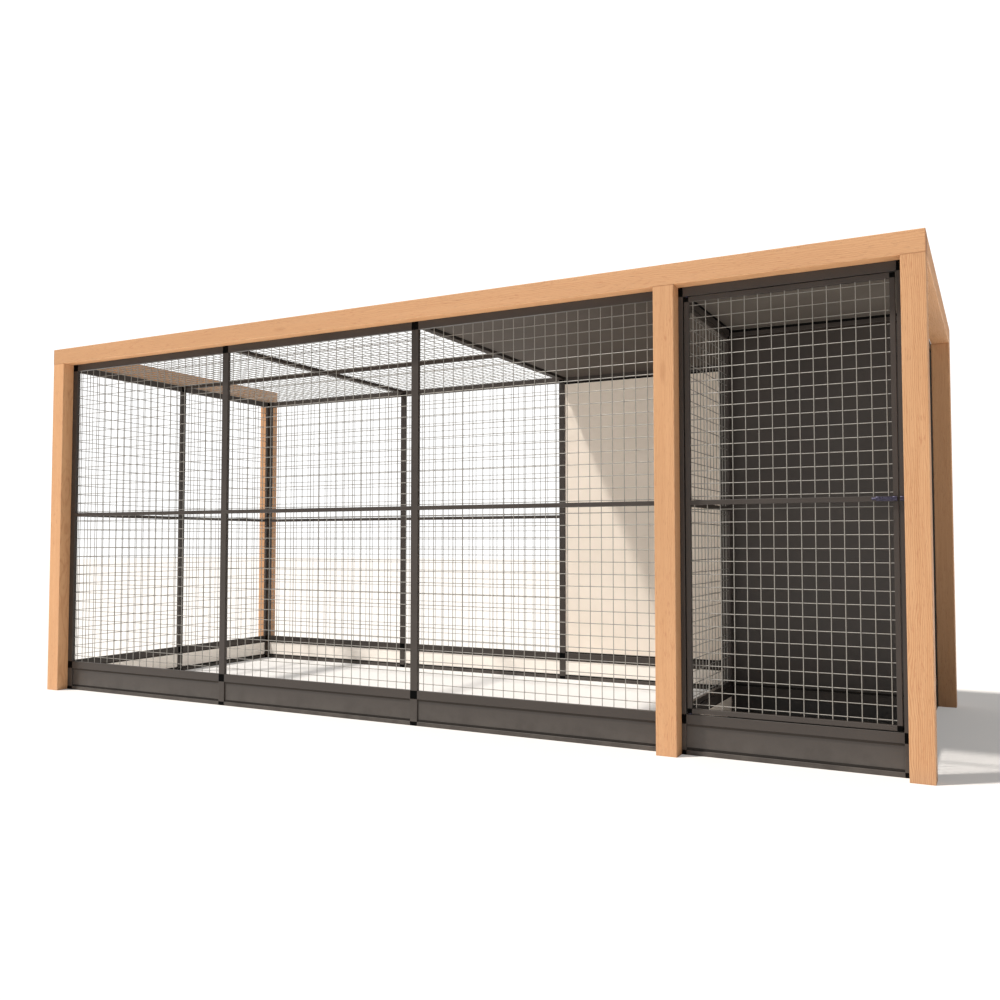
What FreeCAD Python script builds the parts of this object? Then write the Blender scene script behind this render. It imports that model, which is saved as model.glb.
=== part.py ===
import FreeCAD, Part
import os

# Cat run: a timber frame around a cage of square metal tube with welded mesh,
# solid panels at the sheltered end, and an entry porch with two doors.
# Millimetres, +Z up. The origin is the middle of the footprint, on the ground.
# +X runs along the front from the left post to the right one, +Y runs to the back.

# Driving dimensions
run_length = 4876.0
run_depth = 1930.0
run_height = 2060.0
post_side = 90.0
beam_height = 90.0
porch_clear_width = 882.0
run_bays = 3

# Square tube and its plastic connectors
tube_depth = 20.0
wide_tube = 40.0
thin_tube = 20.0
tube_wall = 2.0
tube_round = 1.5
spigot_length = 25.0
spigot_clearance = 0.3

# Heights of the rails
bottom_rail_height = 20.0
plinth_height = 108.0
sill_rail_height = 40.0
mid_rail_height = 20.0
mid_rail_centre = 1052.0
top_rail_height = 40.0
roof_bar_height = 20.0

# Infill
panel_thickness = 6.0
gasket_leg = 10.0
gasket_wall = 2.0
gasket_base = 1.5
wire_diameter = 3.5
mesh_pitch = 54.3
wires_per_net_gap = 2

# Doors
door_gap = 5.0
door_tube = 20.0
pivot_diameter = 8.0
pivot_collar_diameter = 16.0
pivot_reach = 14.0
pivot_seat_depth = 12.0
pivot_clearance = 0.05
pivot_seat_clearance = 0.02
collar_play = 0.3

# Slide bolts
bolt_plate_length = 76.0
bolt_plate_height = 18.0
bolt_plate_thickness = 2.0
bolt_guide_length = 16.0
bolt_guide_depth = 14.0
bolt_rod_diameter = 10.0
bolt_edge_distance = 4.0
bolt_rod_margin = 3.0
bolt_tail = 16.0
bolt_travel = 26.0
bolt_clearance = 0.05
bolt_knob_diameter = 7.0
bolt_knob_length = 16.0
bolt_knob_end_diameter = 12.0
bolt_knob_offset = 22.0
keeper_inset = 2.0
keeper_clearance = 0.6

# Timber fixings
screw_diameter = 10.0
screw_length = 190.0
screw_head_diameter = 22.0
screw_head_height = 8.0
dowel_diameter = 16.0
dowel_length = 60.0
dowel_spacing = 44.0
timber_hole_clearance = 0.1

# Edges of the timber
timber_round = 3.0

# Levels and planes that follow from the sizes above
x_left = -run_length / 2
x_right = run_length / 2
y_front = -run_depth / 2
y_back = run_depth / 2
beam_bottom = run_height - beam_height
sill_bottom = bottom_rail_height + plinth_height
sill_top = sill_bottom + sill_rail_height
top_rail_bottom = beam_bottom - top_rail_height
mid_bottom = mid_rail_centre - mid_rail_height / 2
mid_top = mid_rail_centre + mid_rail_height / 2
roof_bottom = beam_bottom - roof_bar_height
roof_panel_high = beam_bottom - gasket_wall
roof_panel_low = roof_panel_high - panel_thickness
porch_rail_bottom = roof_bottom - thin_tube
inside_left = x_left + post_side
inside_right = x_right - post_side
inside_front = y_front + post_side
inside_back = y_back - post_side
middle_y = (inside_front + inside_back) / 2
porch_left = inside_right - porch_clear_width
middle_post_left = porch_left - post_side
bay_pitch = (middle_post_left - inside_left) / run_bays
net_pitch = mesh_pitch * wires_per_net_gap
panel_inset = (tube_depth - panel_thickness) / 2
keeper_length = bolt_travel - bolt_rod_margin - door_gap - keeper_inset

axis_x = FreeCAD.Vector(1, 0, 0)
axis_y = FreeCAD.Vector(0, 1, 0)
axis_z = FreeCAD.Vector(0, 0, 1)

# A wall is the direction it runs in and the two faces of its tubes
FRONT = ("X", inside_front - tube_depth, inside_front)
BACK = ("X", inside_back, inside_back + tube_depth)
LEFT = ("Y", inside_left - tube_depth, inside_left)
RIGHT = ("Y", inside_right - tube_depth, inside_right)
PORCH_WALL = ("X", middle_y - tube_depth / 2, middle_y + tube_depth / 2)
INNER_DOORWAY = ("Y", porch_left - tube_depth, porch_left)
ROOF_JOINT = ("X", middle_y - thin_tube / 2, middle_y + thin_tube / 2)

nodes = {}


def add(name, *shapes):
    nodes.setdefault(name, []).extend(shapes)


def box(x0, y0, z0, x1, y1, z1):
    return Part.makeBox(x1 - x0, y1 - y0, z1 - z0, FreeCAD.Vector(x0, y0, z0))


def cylinder(radius, start, end):
    along = FreeCAD.Vector(*end) - FreeCAD.Vector(*start)
    return Part.makeCylinder(radius, along.Length, FreeCAD.Vector(*start), along)


def round_long_edges(block, along, radius):
    """Rounds the edges of a block that run one way."""
    long_edges = []
    for edge in block.Edges:
        if edge.tangentAt(edge.FirstParameter).cross(along).Length < 1e-6:
            long_edges.append(edge)
    return block.makeFillet(radius, long_edges)


def wall_box(wall, a0, a1, z0, z1, inset=0.0):
    """A block in a wall, from a0 to a1 along it, set in from both faces."""
    run, d0, d1 = wall
    if run == "X":
        return box(a0, d0 + inset, z0, a1, d1 - inset, z1)
    return box(d0 + inset, a0, z0, d1 - inset, a1, z1)


def wall_rail(wall, a0, a1, z0, z1):
    """A hollow tube that lies along a wall."""
    along = axis_x if wall[0] == "X" else axis_y
    bore = wall_box(wall, a0 - tube_wall, a1 + tube_wall, z0 + tube_wall, z1 - tube_wall, tube_wall)
    return round_long_edges(wall_box(wall, a0, a1, z0, z1), along, tube_round).cut(bore)


def wall_upright(wall, a0, a1, z0, z1):
    """A hollow tube that stands in a wall."""
    bore = wall_box(wall, a0 + tube_wall, a1 - tube_wall, z0 - tube_wall, z1 + tube_wall, tube_wall)
    return round_long_edges(wall_box(wall, a0, a1, z0, z1), axis_z, tube_round).cut(bore)


def connector(wall, a0, a1, z0, z1, down, up):
    """A plastic block between two tubes, with a spigot in the tube below and above."""
    side = tube_wall + spigot_clearance
    low = z0 - spigot_length if down else z0
    high = z1 + spigot_length if up else z1
    spigot = wall_box(wall, a0 + side, a1 - side, low, high, side)
    block = round_long_edges(wall_box(wall, a0, a1, z0, z1), axis_z, tube_round)
    return block.fuse(spigot).removeSplitter()


def upright_stack(prefix, wall, a0, a1):
    """An upright in two lengths, with connectors at the ground, the sill and the top."""
    add(prefix + "_uprights",
        wall_upright(wall, a0, a1, bottom_rail_height, sill_bottom),
        wall_upright(wall, a0, a1, sill_top, top_rail_bottom))
    add(prefix + "_connectors",
        connector(wall, a0, a1, 0.0, bottom_rail_height, False, True),
        connector(wall, a0, a1, sill_bottom, sill_top, True, True),
        connector(wall, a0, a1, top_rail_bottom, beam_bottom, True, False))


def net(place, u0, u1, v0, v1, normal):
    """A flat net from u0, v0 to u1, v1: one holed face, made one wire thick."""
    def rectangle(ua, ub, va, vb):
        corners = [(ua, va), (ub, va), (ub, vb), (ua, vb), (ua, va)]
        return Part.makePolygon([place(u, v) for u, v in corners])

    columns = max(1, round((u1 - u0) / net_pitch))
    rows = max(1, round((v1 - v0) / net_pitch))
    step_u = (u1 - u0 - wire_diameter) / columns
    step_v = (v1 - v0 - wire_diameter) / rows
    wires = [rectangle(u0, u1, v0, v1)]
    for i in range(columns):
        for j in range(rows):
            ua = u0 + wire_diameter + i * step_u
            va = v0 + wire_diameter + j * step_v
            wires.append(rectangle(ua, ua + step_u - wire_diameter, va, va + step_v - wire_diameter))
    return Part.Face(wires, "Part::FaceMakerCheese").extrude(normal * wire_diameter)


def wall_net(wall, a0, a1, z0, z1):
    """A net in the middle of a wall's thickness."""
    run, d0, d1 = wall
    face = (d0 + d1 - wire_diameter) / 2
    if run == "X":
        return net(lambda a, z: FreeCAD.Vector(a, face, z), a0, a1, z0, z1, axis_y)
    return net(lambda a, z: FreeCAD.Vector(face, a, z), a0, a1, z0, z1, axis_x)


def roof_net(x0, x1, y0, y1):
    """A net level with the top of the roof bars."""
    face = beam_bottom - tube_wall - wire_diameter
    return net(lambda x, y: FreeCAD.Vector(x, y, face), x0, x1, y0, y1, axis_z)


def wall_panel(wall, a0, a1, z0, z1):
    """A panel in the middle of a wall's thickness, with a gasket along its foot and its head."""
    panel = wall_box(wall, a0, a1, z0 + gasket_base, z1 - gasket_base, panel_inset)
    for low, high in ((z0, z0 + gasket_leg), (z1 - gasket_leg, z1)):
        add("panel_gaskets", wall_box(wall, a0, a1, low, high, panel_inset - gasket_wall).cut(panel))
    return panel


def roof_panel(x0, x1, y0, y1):
    """A roof panel with a gasket along its left and its right edge."""
    panel = box(x0 + gasket_base, y0, roof_panel_low, x1 - gasket_base, y1, roof_panel_high)
    for left, right in ((x0, x0 + gasket_leg), (x1 - gasket_leg, x1)):
        channel = box(left, y0, roof_panel_low - gasket_wall, right, y1, roof_panel_high + gasket_wall)
        add("panel_gaskets", channel.cut(panel))
    return panel


def low_bay(prefix, wall, a0, a1):
    """The bottom rail, plinth panel and sill rail of one bay. Gives back the sill rail."""
    sill_rail = wall_rail(wall, a0, a1, sill_bottom, sill_top)
    add(prefix + "_rails", wall_rail(wall, a0, a1, 0.0, bottom_rail_height))
    add(prefix + "_plinths", wall_panel(wall, a0, a1, bottom_rail_height, sill_bottom))
    return sill_rail


def mesh_bay(prefix, wall, a0, a1, mesh_name):
    """A bay with a plinth and two nets, parted by a mid rail."""
    add(prefix + "_rails",
        low_bay(prefix, wall, a0, a1),
        wall_rail(wall, a0, a1, mid_bottom, mid_top),
        wall_rail(wall, a0, a1, top_rail_bottom, beam_bottom))
    add(mesh_name,
        wall_net(wall, a0, a1, sill_top, mid_bottom),
        wall_net(wall, a0, a1, mid_top, top_rail_bottom))


def solid_bay(prefix, wall, a0, a1):
    """A bay with a plinth and one tall panel."""
    add(prefix + "_rails",
        low_bay(prefix, wall, a0, a1),
        wall_rail(wall, a0, a1, top_rail_bottom, beam_bottom))
    add(prefix + "_panels", wall_panel(wall, a0, a1, sill_top, top_rail_bottom))


def timber(x0, y0, z0, x1, y1, z1, grain):
    """A planed timber with its four long edges rounded."""
    return round_long_edges(box(x0, y0, z0, x1, y1, z1), grain, timber_round)


# Timber frame: three front posts, two back posts and three beams
post_places = {
    "post_front_left": (x_left, y_front),
    "post_front_middle": (middle_post_left, y_front),
    "post_front_right": (inside_right, y_front),
    "post_back_left": (x_left, inside_back),
    "post_back_right": (inside_right, inside_back),
}
posts = {}
for name, (px, py) in post_places.items():
    posts[name] = timber(px, py, 0.0, px + post_side, py + post_side, beam_bottom, axis_z)
beams = {
    "beam_front": timber(x_left, y_front, beam_bottom, x_right, inside_front, run_height, axis_x),
    "beam_left": timber(x_left, inside_front, beam_bottom, inside_left, y_back, run_height, axis_y),
    "beam_right": timber(inside_right, inside_front, beam_bottom, x_right, y_back, run_height, axis_y),
}

# One coach screw holds a beam on each post, its head sunk below the top
shank_hole = screw_diameter / 2 + timber_hole_clearance
head_hole = screw_head_diameter / 2 + timber_hole_clearance
head_seat = run_height - 2 * screw_head_height
screw_tip = head_seat - screw_length
for name, (px, py) in post_places.items():
    sx = px + post_side / 2
    sy = py + post_side / 2
    shank = cylinder(screw_diameter / 2, (sx, sy, screw_tip), (sx, sy, head_seat))
    head = cylinder(screw_head_diameter / 2, (sx, sy, head_seat), (sx, sy, head_seat + screw_head_height))
    add("beam_screws", shank.fuse(head).removeSplitter())
    hole = cylinder(shank_hole, (sx, sy, screw_tip), (sx, sy, run_height))
    sink = cylinder(head_hole, (sx, sy, head_seat), (sx, sy, run_height))
    posts[name] = posts[name].cut(hole)
    for beam_name in beams:
        beams[beam_name] = beams[beam_name].cut(hole.fuse(sink))

# Two dowels hold each side beam to the back of the front beam
dowel_hole = dowel_diameter / 2 + timber_hole_clearance
for side_beam, dx in (("beam_left", x_left + post_side / 2), ("beam_right", x_right - post_side / 2)):
    for level in (-1, 1):
        dz = beam_bottom + beam_height / 2 + level * dowel_spacing / 2
        ends = (dx, inside_front - dowel_length / 2, dz), (dx, inside_front + dowel_length / 2, dz)
        add("beam_dowels", cylinder(dowel_diameter / 2, *ends))
        for beam_name in ("beam_front", side_beam):
            beams[beam_name] = beams[beam_name].cut(cylinder(dowel_hole, *ends))
for name, shape in list(posts.items()) + list(beams.items()):
    add(name, shape)

# Front wall: three mesh bays between the left post and the middle post
joint_centres = [inside_left + bay_pitch * k for k in range(1, run_bays)]
joint_spans = [(x - wide_tube / 2, x + wide_tube / 2) for x in joint_centres]
front_spans = [(inside_left, inside_left + wide_tube)] + joint_spans
front_spans.append((middle_post_left - thin_tube, middle_post_left))
for a0, a1 in front_spans:
    upright_stack("front", FRONT, a0, a1)
for bay in range(run_bays):
    a0 = front_spans[bay][1]
    a1 = front_spans[bay + 1][0]
    mesh_bay("front", FRONT, a0, a1, "front_mesh_%d" % (bay + 1))

# Left wall: two mesh bays, with thin uprights at the corners
side_spans = [
    (inside_front, inside_front + thin_tube),
    (middle_y - wide_tube / 2, middle_y + wide_tube / 2),
    (inside_back - thin_tube, inside_back),
]
for a0, a1 in side_spans:
    upright_stack("left", LEFT, a0, a1)
for bay in range(2):
    mesh_bay("left", LEFT, side_spans[bay][1], side_spans[bay + 1][0], "left_mesh")

# Right wall: mesh beside the porch, solid beside the sheltered corner
for a0, a1 in side_spans:
    upright_stack("right", RIGHT, a0, a1)
mesh_bay("right", RIGHT, side_spans[0][1], side_spans[1][0], "right_mesh")
solid_bay("right", RIGHT, side_spans[1][1], side_spans[2][0])

# Back wall: mesh behind the open bays, solid behind the sheltered end
porch_wall_left = porch_left - tube_depth - wide_tube
back_spans = [(inside_left, inside_left + thin_tube)] + joint_spans
back_spans.append((porch_wall_left, porch_wall_left + wide_tube))
back_spans.append((inside_right - thin_tube, inside_right))
open_bays = run_bays - 1
for a0, a1 in back_spans:
    upright_stack("back", BACK, a0, a1)
for bay in range(run_bays + 1):
    a0 = back_spans[bay][1]
    a1 = back_spans[bay + 1][0]
    if bay < open_bays:
        mesh_bay("back", BACK, a0, a1, "back_mesh")
    else:
        solid_bay("back", BACK, a0, a1)

# Porch wall: a solid wall across the middle, behind the porch, with a gap under the roof
right_face = RIGHT[1]
porch_wall_start = porch_wall_left + wide_tube
porch_wall_end = right_face - thin_tube
for a0, a1 in ((porch_wall_left, porch_wall_start), (porch_wall_end, right_face)):
    upright_stack("porch", PORCH_WALL, a0, a1)
add("porch_rails",
    low_bay("porch", PORCH_WALL, porch_wall_start, porch_wall_end),
    wall_rail(PORCH_WALL, porch_wall_start, porch_wall_end, porch_rail_bottom, roof_bottom))
add("porch_panels", wall_panel(PORCH_WALL, porch_wall_start, porch_wall_end, sill_top, porch_rail_bottom))

# A rubber seal lies on the porch wall, between the edges of two roof panels
add("panel_gaskets", wall_box(PORCH_WALL, porch_wall_start, porch_wall_end, roof_bottom, beam_bottom))


def pivot_pin(x, y, rail_face, upward):
    """A pin through the wall of a rail, with a collar in the gap to the door."""
    sense = 1.0 if upward else -1.0
    collar = door_gap - collar_play
    shank = cylinder(pivot_diameter / 2,
                     (x, y, rail_face - sense * pivot_seat_depth),
                     (x, y, rail_face + sense * (door_gap + pivot_reach)))
    ring = cylinder(pivot_collar_diameter / 2, (x, y, rail_face), (x, y, rail_face + sense * collar))
    return shank.fuse(ring).removeSplitter()


def doorway(prefix, wall, a0, a1, pivot_a):
    """Two jambs from a0 to a1, with rails, a plinth and the two pivot pins of a door."""
    first = (a0, a0 + thin_tube)
    last = (a1 - thin_tube, a1)
    for span in (first, last):
        upright_stack(prefix, wall, *span)
    sill_rail = low_bay(prefix, wall, first[1], last[0])
    top_rail = wall_rail(wall, first[1], last[0], top_rail_bottom, beam_bottom)
    run, d0, d1 = wall
    across = (d0 + d1) / 2
    px, py = (pivot_a, across) if run == "X" else (across, pivot_a)
    seat = pivot_diameter / 2 + pivot_seat_clearance
    sill_seat = cylinder(seat, (px, py, sill_top - pivot_seat_depth), (px, py, sill_top))
    top_seat = cylinder(seat, (px, py, top_rail_bottom), (px, py, top_rail_bottom + pivot_seat_depth))
    add(prefix + "_rails", sill_rail.cut(sill_seat), top_rail.cut(top_seat))
    add("door_pivot_pins", pivot_pin(px, py, sill_top, True), pivot_pin(px, py, top_rail_bottom, False))


def door_corner(wall, a0, a1, z0, z1, down, up, bore):
    """A corner block of a door, with one spigot, bored where the pivot goes in."""
    block = connector(wall, a0, a1, z0, z1, down, up)
    if not bore:
        return block
    run, d0, d1 = wall
    middle_a = (a0 + a1) / 2
    across = (d0 + d1) / 2
    px, py = (middle_a, across) if run == "X" else (across, middle_a)
    reach = pivot_reach + collar_play
    low, high = (z0, z0 + reach) if up else (z1 - reach, z1)
    return block.cut(cylinder(pivot_diameter / 2 + pivot_clearance, (px, py, low), (px, py, high)))


def door(prefix, wall, a0, a1, hinge_at_start):
    """A door of thin tube with corner blocks, a mid rail and two nets."""
    z0 = sill_top + door_gap
    z1 = top_rail_bottom - door_gap
    inner_low = z0 + door_tube
    inner_high = z1 - door_tube
    stiles = ((a0, a0 + door_tube, hinge_at_start), (a1 - door_tube, a1, not hinge_at_start))
    for s0, s1, hinged in stiles:
        add(prefix + "_frame", wall_upright(wall, s0, s1, inner_low, inner_high))
        add(prefix + "_corners",
            door_corner(wall, s0, s1, z0, inner_low, False, True, hinged),
            door_corner(wall, s0, s1, inner_high, z1, True, False, hinged))
    r0 = a0 + door_tube
    r1 = a1 - door_tube
    for low, high in ((z0, inner_low), (mid_bottom, mid_top), (inner_high, z1)):
        add(prefix + "_frame", wall_rail(wall, r0, r1, low, high))
    add(prefix + "_mesh",
        wall_net(wall, r0, r1, inner_low, mid_bottom),
        wall_net(wall, r0, r1, mid_top, inner_high))


def slide_bolt(prefix, place, direct, edge, jamb_edge):
    """A slide bolt on a door's mid rail, drawn back, and its keeper on the jamb.

    place(a, d) is a point at a along the wall and d out from its face, at bolt height.
    direct is the sense in which the bolt is thrown, and edge is the door's free edge.
    """
    out = bolt_plate_thickness + bolt_guide_depth / 2
    half_height = FreeCAD.Vector(0, 0, bolt_plate_height / 2)

    def block(a_from, a_to, d_from, d_to):
        p = place(a_from, d_from) - half_height
        q = place(a_to, d_to) + half_height
        return box(min(p.x, q.x), min(p.y, q.y), p.z, max(p.x, q.x), max(p.y, q.y), q.z)

    def rod(radius, a_from, a_to):
        p = place(a_from, out)
        q = place(a_to, out)
        return cylinder(radius, (p.x, p.y, p.z), (q.x, q.y, q.z))

    plate_end = edge - direct * bolt_edge_distance
    plate_start = plate_end - direct * bolt_plate_length
    guide_top = bolt_plate_thickness + bolt_guide_depth
    body = block(plate_start, plate_end, 0.0, bolt_plate_thickness)
    for g0 in (plate_start, plate_end - direct * bolt_guide_length):
        body = body.fuse(block(g0, g0 + direct * bolt_guide_length, 0.0, guide_top))
    body = body.removeSplitter()
    bore = bolt_rod_diameter / 2 + bolt_clearance
    add(prefix + "_bolt_body", body.cut(rod(bore, plate_start - direct, plate_end + direct)))

    tail = plate_start - direct * bolt_tail
    tip = edge - direct * bolt_rod_margin
    knob_a = plate_start + direct * bolt_knob_offset
    root = place(knob_a, out)
    neck = place(knob_a, out + bolt_knob_length)
    head = place(knob_a, out + bolt_knob_length + bolt_knob_end_diameter / 2)
    knob = cylinder(bolt_knob_diameter / 2, (root.x, root.y, root.z), (neck.x, neck.y, neck.z))
    cap = cylinder(bolt_knob_end_diameter / 2, (neck.x, neck.y, neck.z), (head.x, head.y, head.z))
    add(prefix + "_bolt", rod(bolt_rod_diameter / 2, tail, tip).fuse([knob, cap]).removeSplitter())

    k0 = jamb_edge + direct * keeper_inset
    k1 = k0 + direct * keeper_length
    keeper_bore = bolt_rod_diameter / 2 + keeper_clearance
    keeper = block(k0, k1, 0.0, guide_top).cut(rod(keeper_bore, k0 - direct, k1 + direct))
    add("bolt_keepers", keeper)


# Front doorway and door, hinged at the middle post and bolted to the right jamb
front_leaf_start = porch_left + thin_tube + door_gap
front_leaf_end = inside_right - thin_tube - door_gap
doorway("doorway", FRONT, porch_left, inside_right, front_leaf_start + door_tube / 2)
door("front_door", FRONT, front_leaf_start, front_leaf_end, True)
front_face = FRONT[1]
slide_bolt("front_door", lambda a, d: FreeCAD.Vector(a, front_face - d, mid_rail_centre), 1.0,
           front_leaf_end, inside_right - thin_tube)

# Inner doorway and door, between the porch and the run, hinged at the porch wall
inner_end = PORCH_WALL[1]
inner_leaf_start = inside_front + thin_tube + door_gap
inner_leaf_end = inner_end - thin_tube - door_gap
doorway("porch", INNER_DOORWAY, inside_front, inner_end, inner_leaf_end - door_tube / 2)
door("inner_door", INNER_DOORWAY, inner_leaf_start, inner_leaf_end, False)
inner_face = INNER_DOORWAY[2]
slide_bolt("inner_door", lambda a, d: FreeCAD.Vector(inner_face + d, a, mid_rail_centre), -1.0,
           inner_leaf_start, inside_front + thin_tube)

# Roof: bars between the walls, nets over the open bays, panels over the rest
def roof_bar_y(x0, x1, y0, y1):
    """A hollow roof bar that runs from front to back."""
    return wall_rail(("Y", x0, x1), y0, y1, roof_bottom, beam_bottom)


for x0, x1 in joint_spans:
    add("roof_bars", roof_bar_y(x0, x1, inside_front, inside_back))
shelter_bar = (porch_wall_left, porch_wall_start)
add("roof_bars",
    roof_bar_y(*shelter_bar, inside_front, PORCH_WALL[1]),
    roof_bar_y(*shelter_bar, PORCH_WALL[2], inside_back))
roof_edges = [(inside_left, inside_left)] + joint_spans + [shelter_bar]
for bay in range(run_bays):
    x0 = roof_edges[bay][1]
    x1 = roof_edges[bay + 1][0]
    if bay < open_bays:
        add("roof_bars", wall_rail(ROOF_JOINT, x0, x1, roof_bottom, beam_bottom))
        add("roof_mesh",
            roof_net(x0, x1, inside_front, ROOF_JOINT[1]),
            roof_net(x0, x1, ROOF_JOINT[2], inside_back))
    else:
        add("roof_panels", roof_panel(x0, x1, inside_front, inside_back))
add("roof_panels",
    roof_panel(porch_left, right_face, inside_front, PORCH_WALL[1]),
    roof_panel(shelter_bar[1], right_face, PORCH_WALL[2], inside_back))

os.makedirs("parts", exist_ok=True)
for name, shapes in nodes.items():
    whole = shapes[0] if len(shapes) == 1 else Part.makeCompound(shapes)
    whole.exportStep("parts/%s.step" % name)
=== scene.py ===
import math

import bpy
from mathutils import Matrix, Vector


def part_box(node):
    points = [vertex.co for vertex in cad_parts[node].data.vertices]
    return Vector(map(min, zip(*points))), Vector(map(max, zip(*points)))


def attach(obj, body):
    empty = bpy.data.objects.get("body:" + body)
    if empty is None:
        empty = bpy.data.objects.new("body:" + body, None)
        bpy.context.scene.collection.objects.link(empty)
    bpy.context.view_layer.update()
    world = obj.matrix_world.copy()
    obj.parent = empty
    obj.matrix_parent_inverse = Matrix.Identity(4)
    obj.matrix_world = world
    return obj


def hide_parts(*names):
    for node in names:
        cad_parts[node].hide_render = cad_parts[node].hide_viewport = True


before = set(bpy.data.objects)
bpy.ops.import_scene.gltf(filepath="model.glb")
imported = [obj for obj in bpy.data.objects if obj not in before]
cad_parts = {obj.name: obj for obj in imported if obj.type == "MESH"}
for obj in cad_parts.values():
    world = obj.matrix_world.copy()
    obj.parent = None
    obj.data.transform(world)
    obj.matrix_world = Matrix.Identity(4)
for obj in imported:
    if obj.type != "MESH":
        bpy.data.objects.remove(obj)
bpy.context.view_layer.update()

# Tubes and nets, in metres in the part's own frame
WIDE_TUBE = 0.040
THIN_TUBE = 0.020
WIRE_RADIUS = 0.00175
WIRE_PITCH = 0.0542
WIRE_SIDES = 8
WIRE_LAP = 0.0014
WIRE_TUCK = 0.0015
FIRST_WIRE_ABOVE_SILL = 0.034
FIRST_WIRE_ABOVE_DOOR_RAIL = 0.0167
WELD_RADIUS = 0.0026
WELD_SEGMENTS = 6
WELD_RINGS = 4

# Slide bolts and keepers
PLATE_THICKNESS = 0.002
PLATE_CORNER = 0.003
PLATE_EASE = 0.0003
GUIDE_LENGTH = 0.016
GUIDE_CORNER = 0.0055
GUIDE_EASE = 0.0004
BOLT_AXIS = 0.009
BOLT_RADIUS = 0.005
BOLT_TIP_ROUND = 0.0012
BOLT_PLAY = 0.00005
KEEPER_PLAY = 0.0006
KNOB_PLACE = 0.022
KNOB_NECK_RADIUS = 0.0035
KNOB_CAP_RADIUS = 0.006
KNOB_CAP_HEIGHT = 0.006
KNOB_CAP_ROUND = 0.0022
PLATE_SCREW_RADIUS = 0.0019
PLATE_SCREW_HEIGHT = 0.0010
PLATE_SCREW_ROUND = 0.0005
PLATE_SCREW_FROM_GUIDE = 0.007
PLATE_SCREW_FROM_EDGE = 0.0026
SCREW_SLOT_DEPTH = 0.0004

# Coach screws
COACH_SHANK_RADIUS = 0.005
COACH_TIP_TAPER = 0.004
COACH_FLANGE_RADIUS = 0.011
COACH_FLANGE_HEIGHT = 0.0024
COACH_FLANGE_ROUND = 0.0010
COACH_HEX_RADIUS = 0.0092
COACH_HEX_ROUND = 0.0011
COACH_HEX_EASE = 0.0003
COACH_HEAD_HEIGHT = 0.008

# Limits for picking and shading edges
TINY = 0.00001
PARALLEL = 0.99
SMOOTH_ANGLE = math.radians(40.0)
SHARP_ANGLE = math.radians(35.0)

# Timber figure: repeats a metre across and along the grain, then detail and roughness
TIMBER_MARKS = {
    "bend": (4.8, 1.76, 2.0, 0.5),
    "ripple": (14.0, 7.0, 2.0, 0.5),
    "fibre": (260.0, 5.5, 5.0, 0.6),
    "streak": (46.0, 1.3, 3.0, 0.5),
    "pore": (620.0, 26.0, 2.0, 0.5),
    "tone": (5.0, 1.1, 2.0, 0.5),
    "fleck": (150.0, 24.0, 3.0, 0.6),
    "fleck_patch": (18.0, 3.0, 2.0, 0.5),
}
KNOT_SPREAD = (9.0, 9.0, 2.4)
KNOT_EDGE = (0.16, 0.05)
RING_SPACING = 0.0056
RING_SHARPNESS = 2.6
RING_BEND = 0.050
RING_RIPPLE = 0.016
RING_SHARE = 0.95
FIBRE_SHARE = 0.60
STREAK_SHARE = 0.26
FIGURE_MEAN = 0.60
FIGURE_BASE = 0.24
FLECK_SHARE = 0.62
PORE_SHARE = 0.42
KNOT_SHARE = 0.35
WEAR_SHARE = 0.70
DARK_END = 0.004
DARK_END_SHARE = 0.60
TIMBER_LIFT = 0.0007

# Fine texture of coats, boards and rubber
COAT_GRAIN = 850.0
PLASTIC_GRAIN = 1100.0
BOARD_GRAIN = 900.0
RUBBER_GRAIN = 700.0
COAT_LIFT = 0.00018
BOARD_LIFT = 0.00012
RUBBER_LIFT = 0.00010
WIRE_LIFT = 0.00015
ZINC_LIFT = 0.00008

# Dust: how high it reaches, and how much of it lies on each finish
DUST_REACH = 0.17
TIMBER_DUST_REACH = 0.10
TIMBER_DUST = 0.18
COAT_DUST = 0.20
PLASTIC_DUST = 0.01
BOARD_DUST = 0.16
PORCH_DUST = 0.04

# Colours, as linear red, green and blue
TIMBER_LIGHT = (0.575, 0.320, 0.163, 1.0)
TIMBER_MID = (0.465, 0.228, 0.104, 1.0)
TIMBER_DARK = (0.33, 0.142, 0.059, 1.0)
TIMBER_FLECK = (0.41, 0.176, 0.082, 1.0)
TIMBER_WORN = (0.610, 0.375, 0.215, 1.0)
TIMBER_END = (0.36, 0.175, 0.080, 1.0)
RUBBER_BLACK = (0.0022, 0.0021, 0.0020, 1.0)
RUBBER_PAINTED_LIGHT = (0.048, 0.0405, 0.0355, 1.0)
WIRE_PAINTED_SHADE = (0.105, 0.098, 0.088, 1.0)
DUST = (0.24, 0.215, 0.185, 1.0)

# Pairs of colours, the deeper one first
ANTHRACITE = ((0.0357, 0.0280, 0.0236, 1.0), (0.0451, 0.0358, 0.0304, 1.0))
ROOF_GREY = ((0.0760, 0.0635, 0.0550, 1.0), (0.0945, 0.0800, 0.0700, 1.0))
# Painted light: the paler grey under the roof over the porch
PORCH_ROOF_PAINTED_LIGHT = ((0.106, 0.0915, 0.0785, 1.0), (0.126, 0.1105, 0.0965, 1.0))
# Painted shade: the darkened outer colour of the porch plinths
PORCH_PLINTH_PAINTED_SHADE = ((0.0170, 0.0145, 0.0130, 1.0), (0.0220, 0.0190, 0.0170, 1.0))
WALL_CREAM = ((0.84, 0.745, 0.645, 1.0), (0.90, 0.80, 0.70, 1.0))
PLINTH_CREAM = ((0.90, 0.835, 0.765, 1.0), (0.95, 0.885, 0.815, 1.0))
RUBBER_LOW_GREY = ((0.022, 0.0192, 0.0172, 1.0), (0.030, 0.0266, 0.0238, 1.0))
BLACK_PLASTIC = ((0.0012, 0.0012, 0.0012, 1.0), (0.0025, 0.0025, 0.0025, 1.0))
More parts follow.
